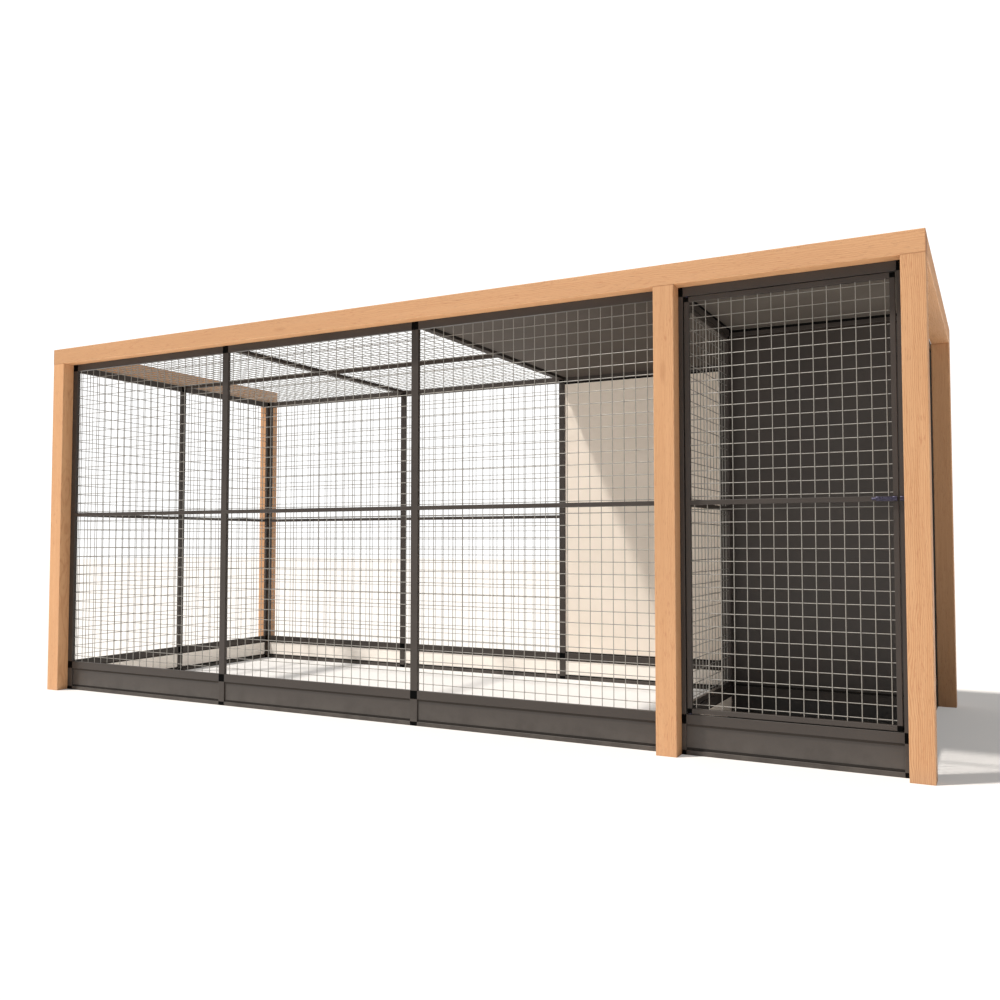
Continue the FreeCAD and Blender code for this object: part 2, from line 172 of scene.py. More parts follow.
GALVANISED = ((0.28, 0.265, 0.240, 1.0), (0.37, 0.350, 0.316, 1.0))
ZINC = ((0.028, 0.0245, 0.048, 1.0), (0.058, 0.053, 0.086, 1.0))

# Camera and light
CAMERA_PLACE = (2.6595, -4.8003, 0.8858)
CAMERA_YAW = math.radians(27.72)
CAMERA_PITCH = math.radians(2.539)
CAMERA_LENS = 34.195
CAMERA_SENSOR = 36.0
SUN_PLACE = (-4.0, -4.0, 6.0)
SUN_TRAVEL = (0.3857, 0.2907, -0.8756)
SUN_STRENGTH = 4.71
SUN_ANGLE = math.radians(4.0)
SUN_COLOUR = (1.0, 0.965, 0.92)
SKY_COLOUR = (1.0, 1.0, 1.0, 1.0)
SKY_STRENGTH = 0.42
SKY_SEEN = 1.15
FLOOR_HALF = 40.0
FLOOR_SEEN = (0.57, 0.55, 0.530, 1.0)
FLOOR_LIGHTING = (0.95, 0.94, 0.92, 1.0)
HAZE_COLOUR = (1.0, 0.98, 0.955, 1.0)
HAZE_STRENGTH = 0.21


def middle_of(node_name):
    low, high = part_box(node_name)
    return (low + high) / 2


# Node helpers


def add_node(tree, kind, inputs=None, **settings):
    """Adds a node, sets its settings, and sets or links its inputs."""
    made = tree.nodes.new(kind)
    for name, value in settings.items():
        setattr(made, name, value)
    for name, value in (inputs or {}).items():
        if isinstance(value, bpy.types.NodeSocket):
            tree.links.new(value, made.inputs[name])
        else:
            made.inputs[name].default_value = value
    return made


def maths(tree, operation, first, second=0.0, clamp=False):
    node = add_node(tree, "ShaderNodeMath", {0: first, 1: second}, operation=operation, use_clamp=clamp)
    return node.outputs[0]


def plus(tree, first, second):
    return maths(tree, "ADD", first, second)


def minus(tree, first, second):
    return maths(tree, "SUBTRACT", first, second)


def times(tree, first, second):
    return maths(tree, "MULTIPLY", first, second)


def size_of(tree, value):
    """The value without its sign."""
    return maths(tree, "ABSOLUTE", value)


def parts_of(tree, vector):
    """The X, Y and Z of a vector."""
    return add_node(tree, "ShaderNodeSeparateXYZ", {0: vector}).outputs


def facing_of(tree):
    """The X, Y and Z of the surface's normal."""
    return parts_of(tree, tree.nodes.new("ShaderNodeNewGeometry").outputs["Normal"])


def mix_colours(tree, factor, first, second):
    node = add_node(tree, "ShaderNodeMix", {0: factor, 6: first, 7: second}, data_type="RGBA")
    return node.outputs[2]


def blend_values(tree, factor, first, second):
    node = add_node(tree, "ShaderNodeMix", {0: factor, 2: first, 3: second}, data_type="FLOAT")
    return node.outputs[0]


def brighten(tree, colour, value):
    return add_node(tree, "ShaderNodeHueSaturation", {"Color": colour, "Value": value}).outputs[0]


def noise(tree, vector, scale, detail, roughness):
    inputs = {"Vector": vector, "Scale": scale, "Detail": detail, "Roughness": roughness}
    return add_node(tree, "ShaderNodeTexNoise", inputs).outputs["Fac"]


def stretched(tree, vector, scale):
    return add_node(tree, "ShaderNodeMapping", {"Vector": vector, "Scale": scale}).outputs[0]


def ramp(tree, value, low, high):
    """Rises smoothly from 0 at low to 1 at high."""
    inputs = {"Value": value, "From Min": low, "From Max": high}
    return add_node(tree, "ShaderNodeMapRange", inputs, interpolation_type="SMOOTHSTEP").outputs[0]


def new_group(name, inputs, outputs):
    """An empty shader node group, with its input and output nodes."""
    group = bpy.data.node_groups.new(name, "ShaderNodeTree")
    for socket, kind in inputs:
        group.interface.new_socket(socket, in_out="INPUT", socket_type=kind)
    for socket, kind in outputs:
        group.interface.new_socket(socket, in_out="OUTPUT", socket_type=kind)
    return group, group.nodes.new("NodeGroupInput"), group.nodes.new("NodeGroupOutput")


def place_group(tree, group, inputs):
    return add_node(tree, "ShaderNodeGroup", inputs, node_tree=group)


VECTOR = "NodeSocketVector"
VALUE = "NodeSocketFloat"
COLOUR = "NodeSocketColor"


# Effects that several materials share


def timber_mark(tree, vector, name):
    """Noise that is drawn out along the grain."""
    across, along, detail, roughness = TIMBER_MARKS[name]
    return noise(tree, stretched(tree, vector, (across, across, along)), 1.0, detail, roughness)


def growth_rings(tree, vector):
    """Rings around the Z axis of the vector, from 0 to 1, bent as a grown tree's are."""
    parts = parts_of(tree, vector)
    squares = [times(tree, parts[0], parts[0]), times(tree, parts[1], parts[1])]
    radius = maths(tree, "SQRT", plus(tree, *squares))
    radius = plus(tree, radius, times(tree, timber_mark(tree, vector, "bend"), RING_BEND))
    radius = plus(tree, radius, times(tree, timber_mark(tree, vector, "ripple"), RING_RIPPLE))
    phase = times(tree, radius, 2.0 * math.pi / RING_SPACING)
    wave = times(tree, plus(tree, maths(tree, "SINE", phase), 1.0), 0.5)
    return maths(tree, "POWER", wave, RING_SHARPNESS)


def make_timber_grain():
    """Growth rings, fibres, flecks, pores and pin knots. The grain runs along Z of the vector."""
    group, start, end = new_group(
        "timber_grain", [("Vector", VECTOR), ("End", VALUE), ("Figure", VALUE)],
        [("Color", COLOUR), ("Roughness", VALUE), ("Height", VALUE)])
    vector = start.outputs["Vector"]
    ring = growth_rings(group, vector)
    fibre = ramp(group, timber_mark(group, vector, "fibre"), 0.30, 0.70)
    streak = timber_mark(group, vector, "streak")
    pore = ramp(group, timber_mark(group, vector, "pore"), 0.63, 0.74)
    tone = timber_mark(group, vector, "tone")
    fleck = ramp(group, timber_mark(group, vector, "fleck"), 0.54, 0.70)
    fleck_patch = ramp(group, timber_mark(group, vector, "fleck_patch"), 0.40, 0.62)
    knots = add_node(group, "ShaderNodeTexVoronoi",
                     {"Vector": stretched(group, vector, KNOT_SPREAD), "Scale": 1.0, "Randomness": 0.9})
    knot = ramp(group, knots.outputs["Distance"], *KNOT_EDGE)

    bold_ring = times(group, ring, ramp(group, streak, 0.26, 0.56))
    depth = plus(group, times(group, bold_ring, RING_SHARE), times(group, fibre, FIBRE_SHARE))
    depth = plus(group, depth, times(group, streak, STREAK_SHARE))
    depth = times(group, minus(group, depth, FIGURE_MEAN), start.outputs["Figure"])
    depth = maths(group, "ADD", depth, FIGURE_BASE, clamp=True)

    colour = mix_colours(group, depth, TIMBER_LIGHT, TIMBER_MID)
    flecks = times(group, times(group, fleck, fleck_patch), FLECK_SHARE)
    colour = mix_colours(group, flecks, colour, TIMBER_FLECK)
    colour = mix_colours(group, times(group, pore, PORE_SHARE), colour, TIMBER_DARK)
    colour = mix_colours(group, times(group, knot, KNOT_SHARE), colour, TIMBER_DARK)
    colour = brighten(group, colour, blend_values(group, tone, 0.90, 1.10))
    end_shade = times(group, start.outputs["End"], blend_values(group, ring, 0.45, 0.95))
    colour = mix_colours(group, end_shade, colour, TIMBER_END)

    height = minus(group, times(group, fibre, 0.5), times(group, pore, 0.8))
    height = minus(group, height, times(group, ring, 0.25))
    group.links.new(colour, end.inputs["Color"])
    group.links.new(blend_values(group, fibre, 0.46, 0.64), end.inputs["Roughness"])
    group.links.new(height, end.inputs["Height"])
    return group


def make_edge_wear():
    """A mask along the long edges of a timber whose section runs from -1 to 1 in X and Y."""
    group, start, end = new_group("edge_wear", [("Vector", VECTOR), ("Grit", VALUE)], [("Mask", VALUE)])
    parts = parts_of(group, start.outputs["Vector"])
    nearest = maths(group, "MINIMUM", size_of(group, parts[0]), size_of(group, parts[1]))
    edge = ramp(group, nearest, 0.90, 0.985)
    mask = times(group, edge, ramp(group, start.outputs["Grit"], 0.38, 0.66))
    group.links.new(mask, end.inputs["Mask"])
    return group


def make_fine_grain():
    """The small even texture of powder coat and moulded plastic, with a slow change of tone."""
    group, start, end = new_group(
        "fine_grain", [("Vector", VECTOR), ("Scale", VALUE)], [("Tone", VALUE), ("Height", VALUE)])
    vector = start.outputs["Vector"]
    speckle = noise(group, vector, start.outputs["Scale"], detail=2.0, roughness=0.6)
    slow = noise(group, vector, 3.5, detail=4.0, roughness=0.6)
    tone = plus(group, times(group, speckle, 0.35), times(group, slow, 0.65))
    group.links.new(ramp(group, tone, 0.34, 0.68), end.inputs["Tone"])
    group.links.new(speckle, end.inputs["Height"])
    return group


def make_splash_dust():
    """A thin film of dust that fades out a little above the ground."""
    group, start, end = new_group("splash_dust", [("Vector", VECTOR), ("Reach", VALUE)], [("Mask", VALUE)])
    vector = start.outputs["Vector"]
    level = maths(group, "DIVIDE", parts_of(group, vector)[2], start.outputs["Reach"])
    patchy = noise(group, vector, 9.0, detail=5.0, roughness=0.65)
    low = ramp(group, plus(group, level, times(group, patchy, 0.6)), 1.25, 0.25)
    group.links.new(times(group, low, ramp(group, patchy, 0.30, 0.75)), end.inputs["Mask"])
    return group


timber_grain = make_timber_grain()
edge_wear = make_edge_wear()
fine_grain = make_fine_grain()
splash_dust = make_splash_dust()


# Materials


def start_material(name):
    """A new material with its shader and its object coordinates."""
    material = bpy.data.materials.new(name)
    material.use_nodes = True
    tree = material.node_tree
    shader = tree.nodes["Principled BSDF"]
    place = tree.nodes.new("ShaderNodeTexCoord").outputs["Object"]
    return material, tree, shader, place


def raise_surface(tree, shader, height, distance):
    bump = add_node(tree, "ShaderNodeBump", {"Height": height, "Distance": distance, "Strength": 1.0})
    tree.links.new(bump.outputs[0], shader.inputs["Normal"])


def inside_of(tree, place, axis, plane, sign):
    """1 on the inner side of a board that lies across an axis at a plane."""
    past = minus(tree, parts_of(tree, place)["XYZ".index(axis)], plane)
    return maths(tree, "GREATER_THAN", times(tree, past, sign), 0.0)


GRAIN_TURNS = {
    "X": (0.0, -math.pi / 2, 0.0),
    "Y": (math.pi / 2, 0.0, 0.0),
    "Z": (0.0, 0.0, 0.0),
}


def timber_material(node_name, pith, tone, figure, underside):
    """Planed and oiled softwood, with the grain along the piece and its heart at pith in its section.

    figure is how strongly the grain shows, and underside how much painted light makes the downward faces
    paler.
    """
    low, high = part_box(node_name)
    size = high - low
    half_length = max(size) / 2
    grain = "XYZ"[list(size).index(max(size))]
    material, tree, shader, place = start_material("timber_" + node_name)
    moved = add_node(tree, "ShaderNodeVectorMath", {0: place, 1: middle_of(node_name)}, operation="SUBTRACT")
    turned = add_node(tree, "ShaderNodeVectorRotate",
                      {"Vector": moved.outputs[0], "Rotation": GRAIN_TURNS[grain]}, rotation_type="EULER_XYZ")
    aligned = turned.outputs[0]
    heart = add_node(tree, "ShaderNodeVectorMath", {0: aligned, 1: pith}, operation="ADD")
    across = add_node(tree, "ShaderNodeVectorMath", {0: aligned, "Scale": 2.0 / min(size)}, operation="SCALE")
    facing = facing_of(tree)
    cut_end = ramp(tree, size_of(tree, facing["XYZ".index(grain)]), 0.80, 0.95)
    wood = place_group(tree, timber_grain, {"Vector": heart.outputs[0], "End": cut_end, "Figure": figure})
    grit = noise(tree, place, 34.0, detail=5.0, roughness=0.7)
    wear = place_group(tree, edge_wear, {"Vector": across.outputs[0], "Grit": grit})
    worn = times(tree, wear.outputs["Mask"], WEAR_SHARE)
    colour = mix_colours(tree, worn, wood.outputs["Color"], TIMBER_WORN)
    dust = place_group(tree, splash_dust, {"Vector": place, "Reach": TIMBER_DUST_REACH})
    colour = mix_colours(tree, times(tree, dust.outputs["Mask"], TIMBER_DUST), colour, DUST)
    # A dark band at each end: darker end grain, and painted shade of the joint line where timbers meet.
    from_middle = size_of(tree, parts_of(tree, aligned)[2])
    dark_end_grain_and_joint_shade = ramp(tree, from_middle, half_length - DARK_END, half_length - DARK_END / 4)
    colour = mix_colours(tree, times(tree, dark_end_grain_and_joint_shade, DARK_END_SHARE), colour, TIMBER_DARK)
    # Painted light: faces that point down are made paler, standing in for light thrown up from the floor.
    painted_underside_light = ramp(tree, facing[2], -0.5, -0.9)
    colour = brighten(tree, colour, blend_values(tree, painted_underside_light, tone, tone * underside))
    tree.links.new(colour, shader.inputs["Base Color"])
    tree.links.new(wood.outputs["Roughness"], shader.inputs["Roughness"])
    shader.inputs["Specular IOR Level"].default_value = 0.35
    raise_surface(tree, shader, wood.outputs["Height"], TIMBER_LIFT)
    return material


def coated_material(name, colours, scale, roughness, lift, dust_share, sheen):
    """Powder coat or moulded plastic: fine texture, slow tone, dust near the ground."""
    material, tree, shader, place = start_material(name)
    grain = place_group(tree, fine_grain, {"Vector": place, "Scale": scale})
    dust = place_group(tree, splash_dust, {"Vector": place, "Reach": DUST_REACH})
    film = times(tree, dust.outputs["Mask"], dust_share)
    colour = mix_colours(tree, grain.outputs["Tone"], *colours)
    tree.links.new(mix_colours(tree, film, colour, DUST), shader.inputs["Base Color"])
    shader.inputs["Specular IOR Level"].default_value = sheen
    rough = blend_values(tree, grain.outputs["Tone"], roughness - 0.06, roughness + 0.06)
    tree.links.new(plus(tree, rough, times(tree, film, 0.5)), shader.inputs["Roughness"])
    raise_surface(tree, shader, grain.outputs["Height"], lift)
    return material


def roof_material(porch_left, porch_back, mid_level):
    """Smooth roof board: dark on top and grey below, with painted light making a paler grey below over the
    porch.
    """
    material, tree, shader, place = start_material("roof_board")
    grain = place_group(tree, fine_grain, {"Vector": place, "Scale": BOARD_GRAIN})
    tone = grain.outputs["Tone"]
    right_of_door = inside_of(tree, place, "X", porch_left, 1.0)
    porch = times(tree, right_of_door, inside_of(tree, place, "Y", porch_back, -1.0))
    top = mix_colours(tree, tone, *ANTHRACITE)
    over_bay = mix_colours(tree, tone, *ROOF_GREY)
    # Painted light: the underside over the porch is paler.
    painted_light_over_porch = mix_colours(tree, tone, *PORCH_ROOF_PAINTED_LIGHT)
    underside = inside_of(tree, place, "Z", mid_level, -1.0)
    colour = mix_colours(tree, underside, top, mix_colours(tree, porch, over_bay, painted_light_over_porch))
    tree.links.new(colour, shader.inputs["Base Color"])
    shader.inputs["Specular IOR Level"].default_value = 0.04
    tree.links.new(blend_values(tree, tone, 0.60, 0.72), shader.inputs["Roughness"])
    raise_surface(tree, shader, grain.outputs["Height"], BOARD_LIFT)
    return material


def board_material(name, sides, outer, inner, dust_share):
    """Smooth board: dark outside and cream inside. sides lists what makes a point inside."""
    material, tree, shader, place = start_material(name)
    grain = place_group(tree, fine_grain, {"Vector": place, "Scale": BOARD_GRAIN})
    tone = grain.outputs["Tone"]
    dust = place_group(tree, splash_dust, {"Vector": place, "Reach": DUST_REACH})
    inside = 0.0
    for tests in sides:
        both = 1.0
        for axis, plane, sign in tests:
            both = times(tree, both, inside_of(tree, place, axis, plane, sign))
        inside = maths(tree, "MAXIMUM", inside, both)
    colour = mix_colours(tree, inside, mix_colours(tree, tone, *outer), mix_colours(tree, tone, *inner))
    film = times(tree, dust.outputs["Mask"], dust_share)
    tree.links.new(mix_colours(tree, film, colour, DUST), shader.inputs["Base Color"])
    tree.links.new(blend_values(tree, tone, 0.40, 0.52), shader.inputs["Roughness"])
    raise_surface(tree, shader, grain.outputs["Height"], BOARD_LIFT)
    return material


def rubber_material(porch_wall, seal_foot):
    """Gasket rubber: black under the roof, shading to a lighter grey near the ground.

    Painted light makes it grey on the heads of the plinths, which the rails above shade. It is anthracite
    along the head of the porch wall.
    """
    material, tree, shader, place = start_material("rubber")
    grain = place_group(tree, fine_grain, {"Vector": place, "Scale": RUBBER_GRAIN})
    tone = grain.outputs["Tone"]
    parts = parts_of(tree, place)
    level = parts[2]
    low_grey = mix_colours(tree, tone, *RUBBER_LOW_GREY)
    colour = mix_colours(tree, ramp(tree, level, 0.4, 1.6), low_grey, RUBBER_BLACK)
    # Painted light: the gaskets on the plinth heads, shaded by the rails above, are lifted to grey.
    plinth_head = times(tree, ramp(tree, level, 0.06, 0.09), ramp(tree, level, 0.16, 0.13))
    colour = mix_colours(tree, plinth_head, colour, RUBBER_PAINTED_LIGHT)
    off_wall = size_of(tree, minus(tree, parts[1], porch_wall))
    wall_head = times(tree, ramp(tree, level, 1.0, 1.2), maths(tree, "LESS_THAN", level, seal_foot))
    wall_head = times(tree, wall_head, maths(tree, "LESS_THAN", off_wall, THIN_TUBE / 2))
    tree.links.new(mix_colours(tree, wall_head, colour, ANTHRACITE[0]), shader.inputs["Base Color"])
    shader.inputs["Specular IOR Level"].default_value = 0.10
    tree.links.new(blend_values(tree, tone, 0.64, 0.80), shader.inputs["Roughness"])
    raise_surface(tree, shader, grain.outputs["Height"], RUBBER_LIFT)
    return material


def galvanised_material():
    """Dull galvanised wire with a faint spangle, and painted shade on its downward faces."""
    material, tree, shader, place = start_material("galvanised_wire")
    spangle = add_node(tree, "ShaderNodeTexVoronoi", {"Vector": place, "Scale": 240.0})
    flake = add_node(tree, "ShaderNodeSeparateColor", {0: spangle.outputs["Color"]}).outputs[0]
    slow = noise(tree, place, 18.0, detail=4.0, roughness=0.6)
    tone = plus(tree, times(tree, flake, 0.5), times(tree, slow, 0.5))
    # Painted shade: the further a face points down, the darker it is made.
    underside = times(tree, ramp(tree, facing_of(tree)[2], 0.30, -0.45), 0.80)
    colour = mix_colours(tree, underside, mix_colours(tree, tone, *GALVANISED), WIRE_PAINTED_SHADE)
    tree.links.new(colour, shader.inputs["Base Color"])
    tree.links.new(blend_values(tree, tone, 0.34, 0.52), shader.inputs["Roughness"])
    shader.inputs["Metallic"].default_value = 0.20
    raise_surface(tree, shader, tone, WIRE_LIFT)
    return material


def zinc_material():
    """Zinc plate with a bluish pass, brushed and a little worn."""
    material, tree, shader, place = start_material("zinc_plate")
    brushed = noise(tree, stretched(tree, place, (30.0, 30.0, 900.0)), 1.0, detail=3.0, roughness=0.6)
    slow = noise(tree, place, 60.0, detail=4.0, roughness=0.6)
    tone = plus(tree, times(tree, brushed, 0.4), times(tree, slow, 0.6))
    tree.links.new(mix_colours(tree, ramp(tree, tone, 0.35, 0.68), *ZINC), shader.inputs["Base Color"])
    tree.links.new(blend_values(tree, tone, 0.28, 0.46), shader.inputs["Roughness"])
    shader.inputs["Metallic"].default_value = 0.60
    raise_surface(tree, shader, brushed, ZINC_LIFT)
    return material


tube_coat = coated_material("tube_coat", ANTHRACITE, COAT_GRAIN, roughness=0.46,
                            lift=COAT_LIFT, dust_share=COAT_DUST, sheen=0.40)
roof_bar_coat = coated_material("roof_bar_coat", ANTHRACITE, COAT_GRAIN, roughness=0.60,
                                lift=COAT_LIFT, dust_share=0.0, sheen=0.06)
black_plastic = coated_material("black_plastic", BLACK_PLASTIC, PLASTIC_GRAIN, roughness=0.55,
                                lift=BOARD_LIFT, dust_share=PLASTIC_DUST, sheen=0.03)
galvanised_wire = galvanised_material()
zinc_plate = zinc_material()


# Finish of the CAD pieces that stay as they are


def finish_node(node_name, material):
    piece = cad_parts[node_name]
    piece.data.materials.clear()
    piece.data.materials.append(material)


# Heart of each timber, its tone, the strength of its figure, and how much painted light makes it paler below
TIMBERS = {
    "post_front_left": ((0.072, 0.018, 0.0), 1.12, 0.6, 1.0),
    "post_front_middle": ((-0.060, 0.071, 0.3), 0.965, 0.6, 1.0),
    "post_front_right": ((0.094, -0.034, 0.7), 0.945, 1.05, 1.0),
    "post_back_left": ((-0.070, 0.030, 1.1), 1.04, 0.6, 1.0),
    "post_back_right": ((0.065, 0.060, 1.7), 1.00, 0.6, 1.0),
    "beam_front": ((0.074, -0.028, 2.0), 0.945, 0.42, 1.36),
    "beam_left": ((-0.034, 0.068, 2.6), 1.00, 0.5, 1.03),
    "beam_right": ((0.058, 0.040, 3.1), 1.00, 0.5, 1.18),
}
for timber_name, timber_look in TIMBERS.items():
    finish_node(timber_name, timber_material(timber_name, *timber_look))
finish_node("beam_dowels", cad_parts["beam_left"].data.materials[0])

for wall in ("front", "left", "right", "back", "porch", "doorway"):
    finish_node(wall + "_uprights", tube_coat)
    finish_node(wall + "_rails", tube_coat)
    finish_node(wall + "_connectors", black_plastic)
for door in ("front_door", "inner_door"):
    finish_node(door + "_frame", tube_coat)
    finish_node(door + "_corners", black_plastic)
finish_node("door_pivot_pins", zinc_plate)
finish_node("roof_bars", roof_bar_coat)

porch_wall_plane = middle_of("porch_panels").y
inner_door_plane = middle_of("inner_door_frame").x
finish_node("roof_panels", roof_material(
    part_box("inner_door_frame")[1].x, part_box("porch_panels")[0].y, middle_of("roof_panels").z))
finish_node("panel_gaskets", rubber_material(porch_wall_plane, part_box("roof_bars")[0].z))

# The axis that each board lies across, the way to its inside, and the inside's colours
BOARDS = {
    "front_plinths": ("Y", 1.0, PLINTH_CREAM),
    "doorway_plinths": ("Y", 1.0, PLINTH_CREAM),
    "left_plinths": ("X", 1.0, PLINTH_CREAM),
    "right_plinths": ("X", -1.0, PLINTH_CREAM),
    "back_plinths": ("Y", -1.0, PLINTH_CREAM),
    "right_panels": ("X", -1.0, WALL_CREAM),
    "back_panels": ("Y", -1.0, WALL_CREAM),
    "porch_panels": ("Y", 1.0, WALL_CREAM),
}
for board_name, (board_axis, inner_sign, creams) in BOARDS.items():
    board_plane = middle_of(board_name)["XYZ".index(board_axis)]
    finish_node(board_name, board_material(
        "board_" + board_name, [[(board_axis, board_plane, inner_sign)]], ANTHRACITE, creams, BOARD_DUST))
# Porch plinths: painted shade darkens their outer faces to stand for the dim foot of the porch, and they take
# little dust so it stays dark.
finish_node("porch_plinths", board_material("board_porch_plinths", [
    [("Y", porch_wall_plane, 1.0)],
    [("X", inner_door_plane, 1.0), ("Y", porch_wall_plane - THIN_TUBE / 2, -1.0)],
], PORCH_PLINTH_PAINTED_SHADE, WALL_CREAM, PORCH_DUST))


# Modelling helpers


def deselect_all():
    bpy.ops.object.select_all(action="DESELECT")


def current(name):
    piece = bpy.context.object
    piece.name = name
    return piece


def array(piece, step, count):
    """Repeats a piece along a step, and applies the modifier."""
    repeat = piece.modifiers.new("repeat", "ARRAY")
    repeat.use_relative_offset = False
    repeat.use_constant_offset = True
    repeat.constant_offset_displace = step
    repeat.count = count
    bpy.context.view_layer.objects.active = piece
    bpy.ops.object.modifier_apply(modifier=repeat.name)


def join(pieces, name):
    deselect_all()
    for piece in pieces:
        piece.select_set(True)
    bpy.context.view_layer.objects.active = pieces[0]
    bpy.ops.object.join()
    return current(name)


def settle(piece):
    """Puts a piece's place into its mesh."""
    deselect_all()
    piece.select_set(True)
    bpy.context.view_layer.objects.active = piece
    bpy.ops.object.transform_apply(location=True, rotation=True, scale=True)
    bpy.ops.object.shade_smooth_by_angle(angle=SMOOTH_ANGLE)


def finish_piece(piece, material, body, slot, *nodes):
    piece.data.materials.clear()
    piece.data.materials.append(material)
    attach(piece, body)
    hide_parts(*nodes)


# Welded mesh


AXES = {"X": Vector((1, 0, 0)), "Y": Vector((0, 1, 0)), "Z": Vector((0, 0, 1))}
WIRE_TURNS = {"X": (0.0, math.pi / 2, 0.0), "Y": (math.pi / 2, 0.0, 0.0), "Z": (0.0, 0.0, 0.0)}


def centred_wires(low, high):
    """The first place and the number of wires that stand evenly between two edges."""
    count = round((high - low) / WIRE_PITCH)
    return (low + high - (count - 1) * WIRE_PITCH) / 2, count


def wires_from(first, low, high):
    """The first place and the number of wires between two edges, on a lattice that holds first."""
    lowest = first + math.ceil((low - first) / WIRE_PITCH) * WIRE_PITCH
    return lowest, 1 + math.floor((high - lowest) / WIRE_PITCH)


def wire_row(run, across, level, normal_axis, ends, first, count):
    """Wires along run, repeated along across, with their middle at level."""
    length = ends[1] - ends[0] + 2 * WIRE_TUCK
    place = AXES[run] * (ends[0] + ends[1]) / 2 + AXES[across] * first + AXES[normal_axis] * level
    deselect_all()
    bpy.ops.mesh.primitive_cylinder_add(
        vertices=WIRE_SIDES, radius=WIRE_RADIUS, depth=length, end_fill_type="NGON",
        location=place, rotation=WIRE_TURNS[run])
    row = current("wires")
    bpy.ops.object.transform_apply(location=True, rotation=True, scale=True)
    array(row, AXES[across] * WIRE_PITCH, count)
    return row


def weld_points(u_axis, v_axis, normal_axis, level, first_u, count_u, first_v, count_v):
    """The small weld at each crossing."""
    place = AXES[u_axis] * first_u + AXES[v_axis] * first_v + AXES[normal_axis] * level
    deselect_all()
    bpy.ops.mesh.primitive_uv_sphere_add(
        segments=WELD_SEGMENTS, ring_count=WELD_RINGS, radius=WELD_RADIUS, location=place)
    welds = current("welds")
    bpy.ops.object.transform_apply(location=True, rotation=True, scale=True)
    array(welds, AXES[u_axis] * WIRE_PITCH, count_u)
    array(welds, AXES[v_axis] * WIRE_PITCH, count_v)
    return welds


def welded_net(u_axis, v_axis, normal_axis, plane, u_span, v_span, first_v=None):
    """One net: wires both ways that lap and are welded where they cross."""
    first_u, count_u = centred_wires(*u_span)
    if first_v is None:
        start_v, count_v = centred_wires(*v_span)
    else:
        start_v, count_v = wires_from(first_v, *v_span)
    uprights = wire_row(v_axis, u_axis, plane - WIRE_LAP, normal_axis, v_span, first_u, count_u)
    levels = wire_row(u_axis, v_axis, plane + WIRE_LAP, normal_axis, u_span, start_v, count_v)
    welds = weld_points(u_axis, v_axis, normal_axis, plane, first_u, count_u, start_v, count_v)
    return [uprights, levels, welds]


def bay_spans(low, high, dividers):
    """The clear spans between two edges, parted by dividers given as (middle, width)."""
    edges = [low]
    for middle, width in dividers:
        edges += [middle - width / 2, middle + width / 2]
    edges.append(high)
    return list(zip(edges[0::2], edges[1::2]))


def net_piece(node_name, body, u_axis, v_axis, normal_axis, u_dividers, v_dividers, first_v=None):
    """The nets of one node, between its outer edges and the tubes that part them."""
    low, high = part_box(node_name)
    u = "XYZ".index(u_axis)
    v = "XYZ".index(v_axis)
    plane = middle_of(node_name)["XYZ".index(normal_axis)]
    rows = []
    for u_span in bay_spans(low[u], high[u], u_dividers):
        for v_span in bay_spans(low[v], high[v], v_dividers):
            rows += welded_net(u_axis, v_axis, normal_axis, plane, u_span, v_span, first_v)
    piece = join(rows, "welded_" + node_name)
    settle(piece)
    finish_piece(piece, galvanised_wire, body, "wire", node_name)


mid_rail_divider = [(middle_of("front_door_bolt_body").z, THIN_TUBE)]
middle_upright = [(0.0, WIDE_TUBE)]
bay_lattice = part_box("front_mesh_1")[0].z + FIRST_WIRE_ABOVE_SILL
first_joint = (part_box("front_mesh_1")[1].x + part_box("front_mesh_2")[0].x) / 2
first_upright = [(first_joint, WIDE_TUBE)]

for bay in (1, 2, 3):
    net_piece("front_mesh_%d" % bay, "frame", "X", "Z", "Y", [], mid_rail_divider, bay_lattice)
net_piece("left_mesh", "frame", "Y", "Z", "X", middle_upright, mid_rail_divider, bay_lattice)
net_piece("right_mesh", "frame", "Y", "Z", "X", [], mid_rail_divider, bay_lattice)
net_piece("back_mesh", "frame", "X", "Z", "Y", first_upright, mid_rail_divider, bay_lattice)
net_piece("roof_mesh", "frame", "X", "Y", "Z", first_upright, [(0.0, THIN_TUBE)])

for door, u_axis, normal_axis in (("front_door", "X", "Y"), ("inner_door", "Y", "X")):
    door_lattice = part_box(door + "_mesh")[0].z + FIRST_WIRE_ABOVE_DOOR_RAIL
    net_piece(door + "_mesh", door, u_axis, "Z", normal_axis, [], mid_rail_divider, door_lattice)


# Slide bolts, keepers and coach screws


def block(low, high):
    """A box between two corners."""
    deselect_all()
    low = Vector(low)
    high = Vector(high)
    bpy.ops.mesh.primitive_cube_add(size=1.0, location=(low + high) / 2, scale=high - low)
    bpy.ops.object.transform_apply(location=True, rotation=True, scale=True)
    return bpy.context.object


def round_bar(axis, start, length, radius, sides=24):
    """A bar along an axis from its start."""
    deselect_all()
    bpy.ops.mesh.primitive_cylinder_add(
        vertices=sides, radius=radius, depth=length, end_fill_type="NGON",
        location=Vector(start) + AXES[axis] * length / 2, rotation=WIRE_TURNS[axis])
    bpy.ops.object.transform_apply(location=True, rotation=True, scale=True)
    return bpy.context.object


